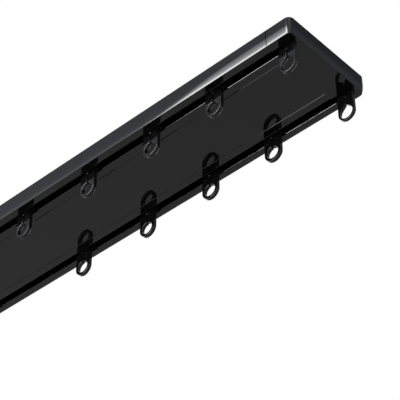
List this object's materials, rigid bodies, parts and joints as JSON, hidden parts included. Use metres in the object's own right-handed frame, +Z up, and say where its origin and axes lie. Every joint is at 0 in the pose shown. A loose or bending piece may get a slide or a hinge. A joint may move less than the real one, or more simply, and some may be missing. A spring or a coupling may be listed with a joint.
{
  "type": "curtain track",
  "caption": "Flat black ceiling curtain track with two slotted lanes, end caps with fixed end eyes, and flat sliding gliders with round eyes.",
  "frame": {"origin": "middle of the flat face that lies against the ceiling", "axes": "+X along the track, +Y across the two lanes, +Z up towards the ceiling"},
  "size_m": [0.9, 0.08, 0.0384],
  "materials": {
    "track": "gloss",
    "cap": "gloss",
    "glider": "gloss"
  },
  "bodies": {
    "track": {"track_profile": "track", "end_cap_right": "cap", "end_cap_left": "cap", "end_eye_right_front": "glider", "end_eye_right_back": "glider", "end_eye_left_front": "glider", "end_eye_left_back": "glider"},
    "glider_front_01": {"glider_front_01": "glider"},
    "glider_front_02": {"glider_front_02": "glider"},
    "glider_front_03": {"glider_front_03": "glider"},
    "glider_front_04": {"glider_front_04": "glider"},
    "glider_front_05": {"glider_front_05": "glider"},
    "glider_front_06": {"glider_front_06": "glider"},
    "glider_front_07": {"glider_front_07": "glider"},
    "glider_front_08": {"glider_front_08": "glider"},
    "glider_front_09": {"glider_front_09": "glider"},
    "glider_front_10": {"glider_front_10": "glider"},
    "glider_front_11": {"glider_front_11": "glider"},
    "glider_front_12": {"glider_front_12": "glider"},
    "glider_back_01": {"glider_back_01": "glider"},
    "glider_back_02": {"glider_back_02": "glider"},
    "glider_back_03": {"glider_back_03": "glider"},
    "glider_back_04": {"glider_back_04": "glider"},
    "glider_back_05": {"glider_back_05": "glider"},
    "glider_back_06": {"glider_back_06": "glider"},
    "glider_back_07": {"glider_back_07": "glider"},
    "glider_back_08": {"glider_back_08": "glider"},
    "glider_back_09": {"glider_back_09": "glider"},
    "glider_back_10": {"glider_back_10": "glider"},
    "glider_back_11": {"glider_back_11": "glider"},
    "glider_back_12": {"glider_back_12": "glider"}
  },
  "joints": [
    {"name": "glider_front_01_slide", "type": "slide", "parent": "track", "child": "glider_front_01", "axis": [1, 0, 0], "range_m": [-0.0439, 0.0492]},
    {"name": "glider_front_02_slide", "type": "slide", "parent": "track", "child": "glider_front_02", "axis": [1, 0, 0], "range_m": [-0.0475, 0.0439]},
    {"name": "glider_front_03_slide", "type": "slide", "parent": "track", "child": "glider_front_03", "axis": [1, 0, 0], "range_m": [-0.0529, 0.0475]},
    {"name": "glider_front_04_slide", "type": "slide", "parent": "track", "child": "glider_front_04", "axis": [1, 0, 0], "range_m": [-0.0942, 0.0529]},
    {"name": "glider_front_05_slide", "type": "slide", "parent": "track", "child": "glider_front_05", "axis": [1, 0, 0], "range_m": [-0.04999, 0.0942]},
    {"name": "glider_front_06_slide", "type": "slide", "parent": "track", "child": "glider_front_06", "axis": [1, 0, 0], "range_m": [-0.04999, 0.04999]},
    {"name": "glider_front_07_slide", "type": "slide", "parent": "track", "child": "glider_front_07", "axis": [1, 0, 0], "range_m": [-0.04999, 0.04999]},
    {"name": "glider_front_08_slide", "type": "slide", "parent": "track", "child": "glider_front_08", "axis": [1, 0, 0], "range_m": [-0.04999, 0.04999]},
    {"name": "glider_front_09_slide", "type": "slide", "parent": "track", "child": "glider_front_09", "axis": [1, 0, 0], "range_m": [-0.04999, 0.04999]},
    {"name": "glider_front_10_slide", "type": "slide", "parent": "track", "child": "glider_front_10", "axis": [1, 0, 0], "range_m": [-0.04999, 0.04999]},
    {"name": "glider_front_11_slide", "type": "slide", "parent": "track", "child": "glider_front_11", "axis": [1, 0, 0], "range_m": [-0.04999, 0.04999]},
    {"name": "glider_front_12_slide", "type": "slide", "parent": "track", "child": "glider_front_12", "axis": [1, 0, 0], "range_m": [-0.04969, 0.04999]},
    {"name": "glider_back_01_slide", "type": "slide", "parent": "track", "child": "glider_back_01", "axis": [1, 0, 0], "range_m": [-0.0439, 0.0492]},
    {"name": "glider_back_02_slide", "type": "slide", "parent": "track", "child": "glider_back_02", "axis": [1, 0, 0], "range_m": [-0.0475, 0.0439]},
    {"name": "glider_back_03_slide", "type": "slide", "parent": "track", "child": "glider_back_03", "axis": [1, 0, 0], "range_m": [-0.0529, 0.0475]},
    {"name": "glider_back_04_slide", "type": "slide", "parent": "track", "child": "glider_back_04", "axis": [1, 0, 0], "range_m": [-0.0942, 0.0529]},
    {"name": "glider_back_05_slide", "type": "slide", "parent": "track", "child": "glider_back_05", "axis": [1, 0, 0], "range_m": [-0.04999, 0.0942]},
    {"name": "glider_back_06_slide", "type": "slide", "parent": "track", "child": "glider_back_06", "axis": [1, 0, 0], "range_m": [-0.04999, 0.04999]},
    {"name": "glider_back_07_slide", "type": "slide", "parent": "track", "child": "glider_back_07", "axis": [1, 0, 0], "range_m": [-0.04999, 0.04999]},
    {"name": "glider_back_08_slide", "type": "slide", "parent": "track", "child": "glider_back_08", "axis": [1, 0, 0], "range_m": [-0.04999, 0.04999]},
    {"name": "glider_back_09_slide", "type": "slide", "parent": "track", "child": "glider_back_09", "axis": [1, 0, 0], "range_m": [-0.04999, 0.04999]},
    {"name": "glider_back_10_slide", "type": "slide", "parent": "track", "child": "glider_back_10", "axis": [1, 0, 0], "range_m": [-0.04999, 0.04999]},
    {"name": "glider_back_11_slide", "type": "slide", "parent": "track", "child": "glider_back_11", "axis": [1, 0, 0], "range_m": [-0.04999, 0.04999]},
    {"name": "glider_back_12_slide", "type": "slide", "parent": "track", "child": "glider_back_12", "axis": [1, 0, 0], "range_m": [-0.04969, 0.04999]}
  ]
}
